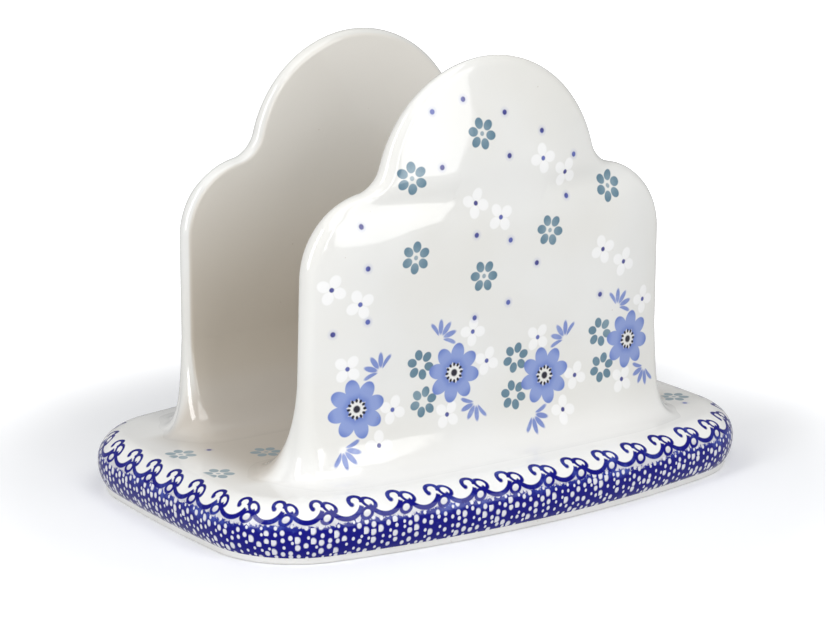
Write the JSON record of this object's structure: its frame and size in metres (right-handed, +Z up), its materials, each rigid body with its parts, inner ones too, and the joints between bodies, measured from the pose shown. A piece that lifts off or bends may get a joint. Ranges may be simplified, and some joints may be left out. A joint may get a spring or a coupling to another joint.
{
  "type": "napkin holder",
  "caption": "Glazed stoneware napkin holder: two upright cloud-shaped walls, flared into a footed oblong base with bowed sides and a fat rounded rim.",
  "frame": {"origin": "middle of the foot, on the table", "axes": "+Z up, +X along the length and the napkin gap, +Y from the front wall to the back wall"},
  "size_m": [0.165, 0.114, 0.1175],
  "materials": {
    "bare_foot": "bare stoneware, wiped clean of glaze",
    "base_glaze": "clear gloss glaze over a cream body, with a cobalt dotted band on the rim",
    "wall_glaze": "clear gloss glaze over a cream body, with small stamped flowers and dots on the outer faces"
  },
  "bodies": {
    "root": {"foot_ring": "bare_foot", "base_tray": "base_glaze", "front_wall": "wall_glaze", "back_wall": "wall_glaze", "front_flare": "wall_glaze", "back_flare": "wall_glaze"}
  },
  "joints": []
}
